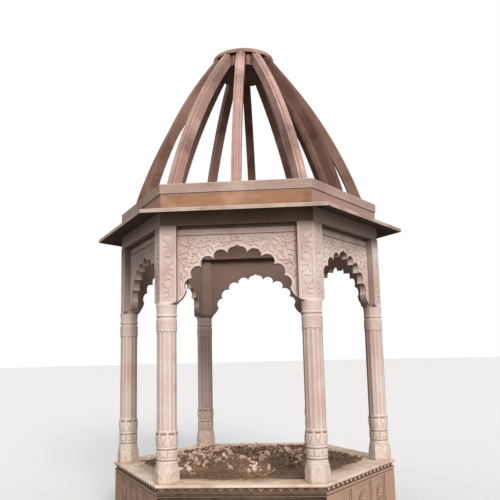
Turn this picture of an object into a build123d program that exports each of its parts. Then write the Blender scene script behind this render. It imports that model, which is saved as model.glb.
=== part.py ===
"""An open six-sided stone pavilion: a panelled plinth, six columns with corner blocks, six cusped
arch panels, a lintel, sloping eaves, a parapet and a dome of twelve bare ribs under a crown disc.

Millimetres. +Z is up and the origin is the centre of the plinth at ground level. Corners lie at
0, 60, 120 ... degrees round the axis and sides face 30, 90, 150 ... degrees, so that one side faces -Y.
"""
import os
from math import cos, pi, radians, sin, sqrt, tan

from build123d import *

os.makedirs("parts", exist_ok=True)

SIDES = 6
HALF_TURN = 180 / SIDES
joint = 3.0                     # open mortar joint between two stones of one ring

# Plan: distance of the column centres from the axis, and how far each course stands from it.
# An apothem is measured square to a side, a radius along a corner.
column_circle = 1500.0
plinth_margin = 134.0           # plinth's face outside the line of the columns
plinth_wall_thick = 180.0
rim_overhang = 17.0             # the rim slab's nose past the plinth's face
rim_width = 470.0
block_setout = 92.0             # from the column's centre out to the face of its corner block
panel_setback = 80.0            # arch panel behind the block's face
panel_thick = 70.0
lintel_setback = 5.0
lintel_width = 250.0
eave_overhang = 256.0           # the eave's edge past the block's face
parapet_setback = 14.0
parapet_width = 248.0
coping_overhang = 12.0

# Heights of the courses, from the ground up
plinth_height = 600.0           # to the top of the rim slab
rim_thick = 28.0
column_height = 1672.0          # plinth top to the seat of the corner block's capital
block_height = 917.0            # capital and block together
lintel_height = 160.0
eave_thick = 36.0
eave_drop = 63.0                # fall of the eave from the wall to its edge
parapet_height = 145.0
coping_height = 115.0
dome_height = 1935.0            # coping top to the underside of the crown disc
disc_thick = 50.0

z_rim = plinth_height
z_seat = z_rim + column_height
z_lintel = z_seat + block_height
z_eave = z_lintel + lintel_height
z_parapet = z_eave + eave_thick
z_coping = z_parapet + parapet_height
z_dome = z_coping + coping_height
z_disc = z_dome + dome_height

corner_scale = 1 / cos(radians(HALF_TURN))
column_apothem = column_circle / corner_scale
plinth_apothem = column_apothem + plinth_margin
block_apothem = column_apothem + block_setout
panel_face = block_apothem - panel_setback
lintel_face = block_apothem - lintel_setback
lintel_inner = lintel_face - lintel_width
eave_edge = block_apothem + eave_overhang
parapet_face = block_apothem - parapet_setback
parapet_inner = parapet_face - parapet_width
coping_face = parapet_face + coping_overhang

# Section planes: local x is the distance from the axis and local y is the height.
side_section = Plane(origin=(0, 0, 0), x_dir=(0, -1, 0), z_dir=(-1, 0, 0))
corner_section = Plane.XZ


def mitre(gap):
    """Cuts the current stone to its sixth of the plan, half a gap short of each corner line."""
    for hand in (1, -1):
        direction = radians(-90 + hand * HALF_TURN)
        normal = (-hand * sin(direction), hand * cos(direction), 0)
        start = (-normal[0] * gap / 2, -normal[1] * gap / 2, 0)
        split(bisect_by=Plane(origin=start, z_dir=normal), keep=Keep.BOTTOM)


def hexagon(apothem):
    """A hexagon with flat sides towards -Y and +Y."""
    RegularPolygon(apothem, SIDES, major_radius=False)


def round_axis(part, index):
    """The same piece at the next side or corner of the building."""
    return Rot(0, 0, index * 360 / SIDES) * part


def save(piece, name):
    piece.label = name
    export_step(piece, f"parts/{name}.step")


def save_six(piece, name):
    for index in range(SIDES):
        save(round_axis(piece, index), f"{name}_{index + 1}")


def ring_of_stones(stone):
    """Six copies of a mitred stone as one course."""
    with BuildPart() as ring:
        with PolarLocations(0, SIDES):
            add(stone)
    return ring.part


# Plinth wall: three sunk panels between corner pilasters, under a moulded frieze
frieze_height = 47.0            # carved tooth band and the groove under it
frieze_sink = 14.0
fillet_height = 20.0
fillet_stand = 6.0
neck_height = 15.0              # flat groove between fillet and panel frame
neck_sink = 8.0
panel_bottom = 95.0
panel_gap_top = 20.0            # frame above the sunk panels
middle_panel = 380.0
side_panel = 262.0
stile = 104.0
panel_sink = 10.0
frame_step = 24.0
inner_sink = 8.0

wall_top = plinth_height - rim_thick
z_frieze = wall_top - frieze_height
z_fillet = z_frieze - fillet_height
z_neck = z_fillet - neck_height
panel_height = z_neck - panel_gap_top - panel_bottom
panel_centre = panel_bottom + panel_height / 2
side_panel_x = middle_panel / 2 + stile + side_panel / 2

with BuildPart() as plinth_wall:
    with BuildSketch(side_section):
        with BuildLine():
            Polyline(
                (plinth_apothem - plinth_wall_thick, 0),
                (plinth_apothem, 0),
                (plinth_apothem, z_neck),
                (plinth_apothem - neck_sink, z_neck),
                (plinth_apothem - neck_sink, z_fillet),
                (plinth_apothem + fillet_stand, z_fillet),
                (plinth_apothem + fillet_stand, z_frieze),
                (plinth_apothem - frieze_sink, z_frieze),
                (plinth_apothem - frieze_sink, wall_top),
                (plinth_apothem - plinth_wall_thick, wall_top),
                close=True,
            )
        make_face()
    extrude(amount=eave_edge, both=True)
    with BuildSketch(Plane.XZ.offset(plinth_apothem)):
        with Locations((0, panel_centre)):
            Rectangle(middle_panel, panel_height)
        with Locations((-side_panel_x, panel_centre), (side_panel_x, panel_centre)):
            Rectangle(side_panel, panel_height)
    extrude(amount=-panel_sink, mode=Mode.SUBTRACT)
    with BuildSketch(Plane.XZ.offset(plinth_apothem - panel_sink)):
        with Locations((0, panel_centre)):
            Rectangle(middle_panel - 2 * frame_step, panel_height - 2 * frame_step)
        with Locations((-side_panel_x, panel_centre), (side_panel_x, panel_centre)):
            Rectangle(side_panel - 2 * frame_step, panel_height - 2 * frame_step)
    extrude(amount=-inner_sink, mode=Mode.SUBTRACT)
    mitre(0)
save_six(plinth_wall.part, "plinth_wall")

# Floor rim: six mitred slabs with a rounded nose, round the open middle of the floor
rim_nose = 9.0
rim_outer = plinth_apothem + rim_overhang
rim_inner = rim_outer - rim_width

with BuildPart() as rim_slab:
    with BuildSketch(side_section):
        with Locations(((rim_outer + rim_inner) / 2, z_rim - rim_thick / 2)):
            Rectangle(rim_width, rim_thick)
        fillet(vertices().group_by(Axis.X)[-1], radius=rim_nose)
    extrude(amount=eave_edge, both=True)
    mitre(joint)
save(ring_of_stones(rim_slab.part), "floor_rim")

# Rubble fill: earth and broken stone inside the walls, heaped a little above the rim
fill_drop = 10.0                # edge of the heap below the rim's top
heap_rise = 45.0
heap_edge = 30.0
heap_top = 460.0
heap_inner = rim_inner - heap_edge

with BuildPart() as rubble_fill:
    with BuildSketch():
        hexagon(plinth_apothem - plinth_wall_thick)
    extrude(amount=wall_top)
    with BuildSketch(Plane.XY.offset(wall_top)):
        hexagon(rim_inner)
    extrude(amount=rim_thick - fill_drop)
    with BuildSketch(Plane.XY.offset(z_rim - fill_drop)):
        hexagon(heap_inner)
    with BuildSketch(Plane.XY.offset(z_rim + heap_rise)):
        hexagon(heap_top)
    loft()
save(rubble_fill.part, "rubble_fill")

# Column: six-sided bell base, ringed waist, swelling leaf band, fluted shaft and necking
base_radius = 132.0             # over the corners of the six-sided foot
base_round = 28.0               # its rubbed corners
base_straight = 110.0
base_bell = 108.0
waist_radius = 104.0
ring_radius = 108.0
groove_radius = 98.0
ring_height = 20.0
groove_height = 9.0
waist_height = 76.0
leaf_height = 142.0
leaf_radius = 107.0
shaft_radius = 99.0
flutes = 12
flute_depth = 6.0
neck_ring_height = 28.0         # the top ring is the thickest
necking_height = 136.0          # plain part under the top ring's groove
neck_ease = 14.0                # sloping shoulder of the necking

z_bell = z_rim + base_straight
z_ring_1 = z_bell + base_bell
z_waist = z_ring_1 + groove_height + ring_height
z_ring_2 = z_waist + waist_height
z_leaf = z_ring_2 + groove_height + ring_height
z_shaft = z_leaf + leaf_height
z_neck_ring = z_seat - neck_ring_height - groove_height
z_necking = z_neck_ring - necking_height

flute_side = flute_depth * sqrt(2)


def ring_moulding(height, ring):
    """A groove and a half-round ring above it, from the waist's face, as points and an arc."""
    Line((groove_radius, height), (groove_radius, height + groove_height))
    Line((groove_radius, height + groove_height), (waist_radius, height + groove_height))
    ThreePointArc(
        (waist_radius, height + groove_height),
        (ring_radius, height + groove_height + ring / 2),
        (waist_radius, height + groove_height + ring),
    )


with BuildPart() as column:
    with BuildSketch(Plane.XY.offset(z_rim)) as foot_plan:
        RegularPolygon(base_radius, SIDES)
        fillet(foot_plan.vertices(), radius=base_round)
    extrude(amount=base_straight)
    with BuildSketch(Plane.XY.offset(z_bell)) as bell_plan:
        RegularPolygon(base_radius, SIDES)
        fillet(bell_plan.vertices(), radius=base_round)
    with BuildSketch(Plane.XY.offset(z_ring_1)):
        Circle(waist_radius)
    loft()
    with BuildSketch(Plane.XZ):
        with BuildLine():
            Line((0, z_ring_1), (groove_radius, z_ring_1))
            ring_moulding(z_ring_1, ring_height)
            Line((waist_radius, z_waist), (waist_radius, z_ring_2))
            Line((waist_radius, z_ring_2), (groove_radius, z_ring_2))
            ring_moulding(z_ring_2, ring_height)
            Line((waist_radius, z_leaf), (groove_radius, z_leaf))
            ThreePointArc(
                (groove_radius, z_leaf),
                (leaf_radius, z_leaf + leaf_height * 0.45),
                (waist_radius, z_shaft),
            )
            Line((waist_radius, z_shaft), (0, z_shaft))
            Line((0, z_shaft), (0, z_ring_1))
        make_face()
    revolve(axis=Axis.Z)
    with BuildSketch(Plane.XY.offset(z_shaft)):
        Circle(shaft_radius)
        with PolarLocations(shaft_radius, flutes, start_angle=180 / flutes):
            Rectangle(flute_side, flute_side, rotation=45, mode=Mode.SUBTRACT)
    extrude(amount=z_necking - z_shaft)
    with BuildSketch(Plane.XZ):
        with BuildLine():
            Line((0, z_necking), (waist_radius, z_necking))
            Polyline(
                (waist_radius, z_necking),
                (waist_radius, z_neck_ring - neck_ease),
                (groove_radius, z_neck_ring),
            )
            ring_moulding(z_neck_ring, neck_ring_height)
            Line((waist_radius, z_seat), (0, z_seat))
            Line((0, z_seat), (0, z_necking))
        make_face()
    revolve(axis=Axis.Z)
save_six(Pos(column_circle, 0, 0) * column.part, "column")

# Corner block: a flared capital under a five-sided stone whose two outer faces meet at the corner
capital_height = 125.0
capital_flare = 95.0            # the round part of the capital
capital_foot = 100.0
capital_radius = 108.0
block_face = 173.0              # width of each outer face, from the corner
block_depth = 170.0
field_sink = 5.0                # shallow carved field on each outer face
field_margin = 14.0

z_block = z_seat + capital_height
block_corner = (block_apothem * corner_scale, 0)
out_x = cos(radians(HALF_TURN))
out_y = sin(radians(HALF_TURN))
block_end = (block_corner[0] - block_face * out_y, block_face * out_x)
block_back = (block_end[0] - block_depth * out_x, block_end[1] - block_depth * out_y)
field_width = block_face - 2 * field_margin
field_height = z_lintel - z_block - 2 * field_margin


def block_plan():
    """The five-sided plan of a corner block, as one closed line."""
    Polyline(
        block_corner,
        block_end,
        block_back,
        (block_back[0], -block_back[1]),
        (block_end[0], -block_end[1]),
        close=True,
    )


with BuildPart() as corner_block:
    with BuildSketch(Plane(origin=(column_circle, 0, 0), x_dir=(1, 0, 0), z_dir=(0, -1, 0))):
        with BuildLine():
            Line((0, z_seat), (capital_foot, z_seat))
            ThreePointArc(
                (capital_foot, z_seat),
                (capital_foot + (capital_radius - capital_foot) * 0.3, z_seat + capital_flare * 0.6),
                (capital_radius, z_seat + capital_flare),
            )
            Line((capital_radius, z_seat + capital_flare), (0, z_seat + capital_flare))
            Line((0, z_seat + capital_flare), (0, z_seat))
        make_face()
    revolve(axis=Axis((column_circle, 0, 0), (0, 0, 1)))
    with BuildSketch(Plane(origin=(column_circle, 0, z_seat + capital_flare))):
        Circle(capital_radius)
    with BuildSketch(Plane.XY.offset(z_block)):
        with BuildLine():
            block_plan()
        make_face()
    loft()
    with BuildSketch(Plane.XY.offset(z_block)):
        with BuildLine():
            block_plan()
        make_face()
    extrude(amount=z_lintel - z_block)
    for hand in (1, -1):
        across = (-out_y, hand * out_x, 0)
        outward = (out_x, hand * out_y, 0)
        face_centre = (
            block_corner[0] + across[0] * block_face / 2,
            across[1] * block_face / 2,
            (z_block + z_lintel) / 2,
        )
        with BuildSketch(Plane(origin=face_centre, x_dir=across, z_dir=outward)):
            Rectangle(field_width, field_height)
        extrude(amount=-field_sink, mode=Mode.SUBTRACT)
save_six(corner_block.part, "corner_block")

# Arch panel: a slab between two corner blocks, cut to nine cusped lobes with an ogee tip. Points on the
# arch are the distance from its centre line and the height above the foot of the blocks. Each lobe is an
# arc from cusp to cusp, set out by its bulge from the chord. The last one, the bracket foot's, turns in.
arch_half = block_apothem * tan(radians(HALF_TURN)) - block_face
arch_rise = 583.0
tip_shoulder = (52.0, 560.0)
cusps = ((105.0, 496.0), (250.0, 444.0), (381.0, 363.0), (481.0, 244.0), (542.0, 118.0), (arch_half, 0.0))
bulges = (67.0, 67.0, 58.0, 45.0, -13.0)
crown_bulge = 13.0
tip_bulge = -6.5
rebate_height = 32.0            # dark joint under the lintel
rebate_depth = 20.0
band_height = 60.0              # plain band over the carved field
band_stand = 6.0
band_groove = 7.0

z_band = z_lintel - rebate_height - band_height
panel_back = panel_face - panel_thick


def lobe(start, end, bulge):
    """An arc between two points of the half arch, bulging away from the opening."""
    across = (end - start).normalized()
    middle = (start + end) * 0.5 + Vector(-across.Y, across.X) * bulge
    ThreePointArc(start, middle, end)


with BuildPart() as arch_panel:
    with BuildSketch(Plane.XZ.offset(panel_back)):
        with BuildLine():
            foot = Vector(0, z_block)
            tip = foot + Vector(0, arch_rise)
            shoulder = foot + Vector(tip_shoulder)
            points = [foot + Vector(cusp) for cusp in cusps]
            lobe(tip, shoulder, tip_bulge)
            lobe(shoulder, points[0], crown_bulge)
            for start, end, bulge in zip(points, points[1:], bulges):
                lobe(start, end, bulge)
            Line(points[-1], (arch_half, z_lintel))
            Line((arch_half, z_lintel), (0, z_lintel))
            mirror(about=Plane.YZ)
        make_face()
    extrude(amount=panel_thick)
    with BuildSketch(side_section):
        with Locations((panel_face, z_band + band_height / 2)):
            Rectangle(2 * band_stand, band_height)
    extrude(amount=arch_half, both=True)
    with BuildSketch(side_section):
        with Locations((panel_face, z_lintel - rebate_height / 2)):
            Rectangle(2 * rebate_depth, rebate_height)
        with Locations((panel_face, z_band - band_groove / 2)):
            Rectangle(2 * band_groove, band_groove)
    extrude(amount=arch_half, both=True, mode=Mode.SUBTRACT)
save_six(arch_panel.part, "arch_panel")

# Lintel, eave, parapet and coping: four courses of mitred stones
with BuildPart() as lintel_stone:
    with BuildSketch(side_section):
        with Locations(((lintel_face + lintel_inner) / 2, z_lintel + lintel_height / 2)):
            Rectangle(lintel_width, lintel_height)
    extrude(amount=eave_edge, both=True)
    mitre(joint)
save(ring_of_stones(lintel_stone.part), "lintel_ring")

with BuildPart() as eave_slab:
    with BuildSketch(side_section):
        with BuildLine():
            Polyline(
                (lintel_inner, z_eave),
                (block_apothem, z_eave),
                (eave_edge, z_eave - eave_drop),
                (eave_edge, z_parapet - eave_drop),
                (block_apothem, z_parapet),
                (lintel_inner, z_parapet),
                close=True,
            )
        make_face()
    extrude(amount=eave_edge, both=True)
    mitre(joint)
save(ring_of_stones(eave_slab.part), "eave_ring")

with BuildPart() as parapet_stone:
    with BuildSketch(side_section):
        with Locations(((parapet_face + parapet_inner) / 2, z_parapet + parapet_height / 2)):
            Rectangle(parapet_width, parapet_height)
    extrude(amount=eave_edge, both=True)
    mitre(joint)
save(ring_of_stones(parapet_stone.part), "parapet_ring")

neck_setback = 2.0              # the coping's neck behind the parapet's face
neck_rise = 3.0
hollow_rise = 8.0               # curved hollow between the neck and the coping's nose
coping_ease = 8.0

neck_face = parapet_face - neck_setback
z_neck_top = z_coping + neck_rise
z_hollow = z_neck_top + hollow_rise

with BuildPart() as coping_stone:
    with BuildSketch(side_section):
        with BuildLine():
            Polyline(
                (neck_face, z_coping),
                (parapet_inner, z_coping),
                (parapet_inner, z_dome),
                (coping_face - coping_ease, z_dome),
                (coping_face, z_dome - coping_ease),
                (coping_face, z_hollow),
            )
            ThreePointArc(
                (coping_face, z_hollow),
                (neck_face + (coping_face - neck_face) * (1 - sin(pi / 4)), z_neck_top + hollow_rise * sin(pi / 4)),
                (neck_face, z_neck_top),
            )
            Line((neck_face, z_neck_top), (neck_face, z_coping))
        make_face()
    extrude(amount=eave_edge, both=True)
    mitre(joint)
save(ring_of_stones(coping_stone.part), "coping_ring")

# Crown: a twelve-sided hub between the ribs' heads, and the disc that covers them
ribs = 2 * SIDES
hub_apothem = 340.0
hub_height = 150.0
disc_radius = 391.0
disc_round = 14.0

with BuildPart() as crown_hub:
    with BuildSketch(Plane.XY.offset(z_disc - hub_height)):
        RegularPolygon(hub_apothem, ribs, major_radius=False, rotation=180 / ribs)
    extrude(amount=hub_height)
save(crown_hub.part, "crown_hub")

with BuildPart() as crown_disc:
    with BuildSketch(Plane.XY.offset(z_disc)):
        Circle(disc_radius)
    extrude(amount=disc_thick)
    fillet(edges().group_by(Axis.Z)[-1], radius=disc_round)
save(crown_disc.part, "crown_disc")

# Dome ribs: curved bars with a raised middle strip between two rebates, standing on the coping and
# notched at the head round the hub. Corner ribs stand further out than the ribs at mid-side.
rib_width = 105.0
rib_depth = 122.0
strip_width = 42.0
rebate = 11.0
rib_bulge = 109.0               # of the outer curve, from the chord between foot and head
head_setback = 3.0              # the ribs' heads inside the disc's edge
corner_setback = 144.0          # the ribs' feet inside the coping's corners and sides
side_setback = 45.0

rib_head = disc_radius - head_setback
corner_foot = coping_face * corner_scale - corner_setback
side_foot = coping_face - side_setback


def rib_profile(foot, skin):
    """The rib's band between its outer curve, less a skin, and its inner curve, with its notch."""
    run = foot - rib_head
    chord = sqrt(run**2 + dome_height**2)
    radius = chord**2 / (8 * rib_bulge) + rib_bulge / 2
    inward = radius - rib_bulge
    centre_x = (foot + rib_head) / 2 - inward * dome_height / chord
    centre_z = (z_dome + z_disc) / 2 - inward * run / chord
    with Locations((centre_x, centre_z)):
        Circle(radius - skin)
        Circle(radius - rib_depth, mode=Mode.SUBTRACT)
    with Locations((foot / 2, (z_dome + z_disc) / 2)):
        Rectangle(foot, dome_height, mode=Mode.INTERSECT)
    with Locations((hub_apothem / 2, z_disc - hub_height / 2)):
        Rectangle(hub_apothem, hub_height, mode=Mode.SUBTRACT)


for name, foot, turn in (("rib_corner", corner_foot, 0), ("rib_side", side_foot, HALF_TURN)):
    with BuildPart() as rib:
        with BuildSketch(corner_section):
            rib_profile(foot, rebate)
        extrude(amount=rib_width / 2, both=True)
        with BuildSketch(corner_section):
            rib_profile(foot, 0)
        extrude(amount=strip_width / 2, both=True)
    save_six(Rot(0, 0, turn) * rib.part, name)
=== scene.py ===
"""Looks of the open six-sided stone pavilion, in metres and in the frame of its solids."""
from math import asin, atan2, cos, pi, radians, sin, tan

import bmesh
import bpy
import numpy as np
from mathutils import Matrix, Vector, noise as clouds


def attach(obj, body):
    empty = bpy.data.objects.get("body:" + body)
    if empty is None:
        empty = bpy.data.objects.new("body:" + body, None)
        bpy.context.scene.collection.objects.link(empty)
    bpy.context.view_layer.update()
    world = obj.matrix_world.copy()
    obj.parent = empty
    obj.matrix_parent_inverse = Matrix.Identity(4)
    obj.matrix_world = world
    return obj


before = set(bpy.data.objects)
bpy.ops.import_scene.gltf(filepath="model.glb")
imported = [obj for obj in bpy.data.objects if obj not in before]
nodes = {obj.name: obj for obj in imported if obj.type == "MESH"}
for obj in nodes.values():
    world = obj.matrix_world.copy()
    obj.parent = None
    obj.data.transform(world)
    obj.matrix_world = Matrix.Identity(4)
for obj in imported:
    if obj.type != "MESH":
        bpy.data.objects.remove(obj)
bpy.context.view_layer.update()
rng = np.random.default_rng(7)

SIDES = 6
MM = 0.001
EAST, SOUTH_NORTH, UP = 0, 1, 2


def end_of(name, axis, side):
    """Where a solid ends along an axis, in whole millimetres: side is min or max."""
    return round(side(vertex.co[axis] for vertex in nodes[name].data.vertices) / MM)


# Sizes of the solids that the carving sits on, in millimetres. Faces are measured from the axis
BAND_STAND = 6.0
FILLET_STAND = 6.0
LINTEL_SETBACK = 5.0
RIM_WIDTH = 470.0
BLOCK_WIDTH = 173.0
FRIEZE_SINK = 14.0
PANEL_SINK = 18.0
FIELD_SINK = 5.0
WAIST_RADIUS = 104.0
COLUMN_CIRCLE = 1500.0
PANEL_FACE = -end_of("arch_panel_1", SOUTH_NORTH, min) - BAND_STAND
BLOCK_FACE = -end_of("lintel_ring", SOUTH_NORTH, min) + LINTEL_SETBACK
PLINTH_FACE = -end_of("plinth_wall_1", SOUTH_NORTH, min) - FILLET_STAND
RIM_INNER = -end_of("floor_rim", SOUTH_NORTH, min) - RIM_WIDTH
ARCH_HALF = end_of("arch_panel_1", EAST, max)

# Heights, in millimetres from the ground
Z_RIM = end_of("floor_rim", UP, max)
Z_WAIST = Z_RIM + 247.0
Z_LEAF = Z_WAIST + 105.0
Z_SHAFT = Z_LEAF + 142.0
Z_SEAT = end_of("column_1", UP, max)
Z_NECKING = Z_SEAT - 173.0
Z_NECK_TOP = Z_SEAT - 51.0
Z_BLOCK = end_of("arch_panel_1", UP, min)
Z_LINTEL = end_of("lintel_ring", UP, min)


# Materials

def colour(code):
    """A #rrggbb colour as linear values."""
    values = [int(code[i:i + 2], 16) / 255 for i in (1, 3, 5)]
    return tuple(v / 12.92 if v <= 0.04045 else ((v + 0.055) / 1.055) ** 2.4 for v in values) + (1.0,)


def put(tree, kind, inputs=None, out=0, **settings):
    """Adds a node with its settings and its inputs, each a value or a socket, and gives one output."""
    node = tree.nodes.new(kind)
    for key, value in settings.items():
        setattr(node, key, value)
    for key, value in (inputs or {}).items():
        if isinstance(value, bpy.types.NodeSocket):
            tree.links.new(value, node.inputs[key])
        else:
            node.inputs[key].default_value = value
    return node.outputs[out] if node.outputs else node


# What lies over the stone's own colour: dirt, dust, lime, mud and rubbed edges, and painted shade in hollows,
# under ledges, under the eave and on faces turned to the axis
DARK_DIRT_AND_SHADE = "#7A5748"
PAINTED_UNDERSIDE_SHADE = "#35251D"
PAINTED_EAVE_SHADE = "#3A2C23"
DUST = "#C9B8A0"
SPLASH = "#C6B6A2"
MUD = "#B89F8A"
PAINTED_INSIDE_SHADE = "#735A52"
RUBBED = "#EFDFD0"


def stone(
    name, body, pale, dark, bed=0.25, beds_lie=(4.0, 4.0, 30.0), blotch=0.3, dirt_and_shade=0.3, dust=0.3, underside_shade=0.6,
    chisel=0.0, foot=0.0, wear=0.0, inner=0.0, grime_and_shade=DARK_DIRT_AND_SHADE, rising_coat=None, other=None, spill=None,
):
    """Fine-grained sandstone: a body colour under coats that each show where a value says.

    beds_lie is how often the beds change along x, y and z in a metre. other is (colour, amount, phase)
    for those of six stones round the axis that came from another bed; on the plinth, frieze and lintel
    it also leaves the front darker than most other sides, as painted shade. rising_coat is (height where
    it starts, height where it is full, amount, colour); under the eave it is painted shade. spill is
    (radius of full cover, radius where it ends, colour) for earth that lies on a floor.
    """
    material = bpy.data.materials.new(name)
    material.use_nodes = True
    tree = material.node_tree
    tree.nodes.clear()
    where = put(tree, "ShaderNodeTexCoord", out="Object")
    east = put(tree, "ShaderNodeSeparateXYZ", {0: where})
    north, height = east.node.outputs[1], east.node.outputs[2]
    tint = colour(body)

    def coat(value, bare, full, code, most=1.0, rise="SMOOTHSTEP"):
        """Lays a colour over the tint: none of it where the value is bare, and most where it is full."""
        nonlocal tint
        mask = put(tree, "ShaderNodeMapRange", {
            "Value": value, "From Min": bare, "From Max": full, "To Max": most,
        }, interpolation_type=rise)
        tint = put(tree, "ShaderNodeMix", {0: mask, 6: tint, 7: colour(code)}, out=2, data_type="RGBA")

    # Clouds of colour 0.4 m across, as the beds of the quarry give
    cloud = put(tree, "ShaderNodeTexNoise", {"Vector": where, "Scale": 2.4, "Detail": 4.0})
    coat(cloud, 0.5, 0.36, dark)
    coat(cloud, 0.52, 0.68, pale)

    # Beds 30 mm thick, and blotches 60 mm across
    layers = put(tree, "ShaderNodeMapping", {"Vector": where, "Scale": beds_lie})
    beds = put(tree, "ShaderNodeTexNoise", {"Vector": layers, "Scale": 1.0, "Detail": 3.0})
    coat(beds, 0.45, 0.7, pale, bed)
    spots = put(tree, "ShaderNodeTexNoise", {
        "Vector": where, "Scale": 17.0, "Detail": 6.0, "Roughness": 0.65,
    })
    coat(spots, 0.55, 0.72, dark, blotch)
    patchy = put(tree, "ShaderNodeMapRange", {
        "Value": spots, "From Min": 0.3, "From Max": 0.6, "To Min": 0.4,
    }, interpolation_type="SMOOTHSTEP")

    # Another colour on some of the six sides by a wave over the number of the side: stone from another bed,
    # and on the plinth, frieze and lintel painted shade that keeps the front darker than most other sides
    if other:
        another, amount, phase = other
        angle = put(tree, "ShaderNodeMath", {0: north, 1: east}, operation="ARCTAN2")
        turns = put(tree, "ShaderNodeMath", {0: angle, 1: SIDES / (2 * pi)}, operation="MULTIPLY")
        number = put(tree, "ShaderNodeMath", {0: turns}, operation="FLOOR")
        shifted = put(tree, "ShaderNodeMath", {0: number, 1: 2.4, 2: phase}, operation="MULTIPLY_ADD")
        wave = put(tree, "ShaderNodeMath", {0: shifted}, operation="SINE")
        coat(wave, -0.8, 0.9, another, amount)

    # Dirt and painted shade in hollows: by the depth of the carving, and elsewhere by how closed the corner
    # is
    closed = put(tree, "ShaderNodeAmbientOcclusion", {"Distance": 0.05}, out="AO", samples=8)
    shut = put(tree, "ShaderNodeMapRange", {
        "Value": closed, "From Min": 0.92, "From Max": 0.4,
    }, interpolation_type="SMOOTHSTEP")
    cavity = put(tree, "ShaderNodeAttribute", attribute_name="cavity", out="Fac")
    soiled_and_shaded = put(tree, "ShaderNodeMath", {0: shut, 1: cavity}, operation="MAXIMUM")
    coat(soiled_and_shaded, 0.0, 1.0, grime_and_shade, dirt_and_shade, rise="LINEAR")

    # Paler arrises, rubbed 9 mm wide
    flat = put(tree, "ShaderNodeNewGeometry", out="Normal")
    if wear:
        eased = put(tree, "ShaderNodeBevel", {"Radius": 0.009}, samples=4)
        along = put(tree, "ShaderNodeVectorMath", {0: eased, 1: flat}, out="Value", operation="DOT_PRODUCT")
        most = put(tree, "ShaderNodeMath", {0: patchy, 1: wear}, operation="MULTIPLY")
        coat(along, 0.995, 0.9, RUBBED, most)

    # Painted shade on the faces turned to the axis, inside the pavilion
    plan = put(tree, "ShaderNodeCombineXYZ", {0: east, 1: north})
    if inner:
        outward = put(tree, "ShaderNodeVectorMath", {0: plan, 1: flat}, out="Value", operation="DOT_PRODUCT")
        coat(outward, -0.3, -0.8, PAINTED_INSIDE_SHADE, inner)

    # Dust on ledges, and painted shade on undersides
    facing = put(tree, "ShaderNodeSeparateXYZ", {0: flat}, out=2)
    most = put(tree, "ShaderNodeMath", {0: patchy, 1: dust}, operation="MULTIPLY")
    coat(facing, 0.5, 0.95, DUST, most)
    coat(facing, -0.3, -0.9, PAINTED_UNDERSIDE_SHADE, underside_shade)

    # A coat that rises to its full height, which under the eave is painted shade; lime and mud splashed in
    # spots on the foot, which also darken it as painted shade; spilt earth
    if rising_coat:
        start, top, amount, code = rising_coat
        most = put(tree, "ShaderNodeMapRange", {
            "Value": spots, "From Min": 0.25, "From Max": 0.6, "To Min": 0.75 * amount, "To Max": amount,
        })
        coat(height, start, top, code, most)
    # The splashes also darken the foot as painted shade
    if foot:
        most = put(tree, "ShaderNodeMapRange", {
            "Value": height, "From Min": 1.15, "From Max": 0.7, "To Max": foot,
        }, interpolation_type="SMOOTHSTEP")
        coat(spots, 0.44, 0.6, SPLASH, most)
        coat(spots, 0.48, 0.34, MUD, most)
    if spill:
        covered, end, code = spill
        far = put(tree, "ShaderNodeVectorMath", {0: plan}, out="Value", operation="LENGTH")
        ragged = put(tree, "ShaderNodeMath", {0: spots, 1: -0.35, 2: far}, operation="MULTIPLY_ADD")
        ragged = put(tree, "ShaderNodeMath", {0: cloud, 1: -0.5, 2: ragged}, operation="MULTIPLY_ADD")
        lying = put(tree, "ShaderNodeMapRange", {
            "Value": facing, "From Min": 0.6, "From Max": 0.9, "To Max": 0.9,
        })
        coat(ragged, end, covered, code, lying)

    # Sand grain of 0.2 mm is too fine to draw, so it is drawn at 2 to 3 mm
    grain = put(tree, "ShaderNodeTexNoise", {"Vector": where, "Scale": 420.0, "Detail": 2.0})
    speck = put(tree, "ShaderNodeCombineColor", {0: grain, 1: grain, 2: grain})
    tint = put(tree, "ShaderNodeMix", {
        0: 0.12, 6: tint, 7: speck,
    }, out=2, data_type="RGBA", blend_type="OVERLAY")

    # Relief too fine to model: pits, grain and the marks of a point chisel about 10 mm apart
    pits = put(tree, "ShaderNodeTexNoise", {"Vector": where, "Scale": 90.0, "Detail": 5.0, "Roughness": 0.6})
    relief = put(tree, "ShaderNodeMath", {0: grain, 1: 0.4, 2: pits}, operation="MULTIPLY_ADD")
    if chisel:
        marks = put(tree, "ShaderNodeTexWave", {
            "Vector": where, "Scale": 38.0, "Distortion": 5.0, "Detail": 2.0, "Detail Scale": 1.5,
        }, out="Fac", bands_direction="DIAGONAL")
        relief = put(tree, "ShaderNodeMath", {0: marks, 1: chisel, 2: relief}, operation="MULTIPLY_ADD")
    bumpy = put(tree, "ShaderNodeBump", {"Height": relief, "Strength": 0.35, "Distance": 0.003})
    dull = put(tree, "ShaderNodeMapRange", {
        "Value": spots, "From Min": 0.3, "From Max": 0.7, "To Min": 0.82, "To Max": 0.96,
    })
    shader = put(tree, "ShaderNodeBsdfPrincipled", {
        "Base Color": tint, "Roughness": dull, "Specular IOR Level": 0.25, "Normal": bumpy,
    })
    put(tree, "ShaderNodeOutputMaterial", {"Surface": shader})
    return material


# Pink sandstone, carved with chisels and rubbed smooth with grit: pale, even and quite matt. The shafts
# are cut along the beds, which so stand upright in them
# The columns are drawn darker on faces turned to the axis, as painted shade, and at the foot by splashes that
# also paint shade
column_stone = stone(
    "rubbed_pink_sandstone", "#E4D0C5", "#ECDDD2", "#D9BEB3", bed=0.35, beds_lie=(26.0, 26.0, 1.5),
    blotch=0.15, dirt_and_shade=0.8, foot=0.9, inner=0.45,
)
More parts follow.
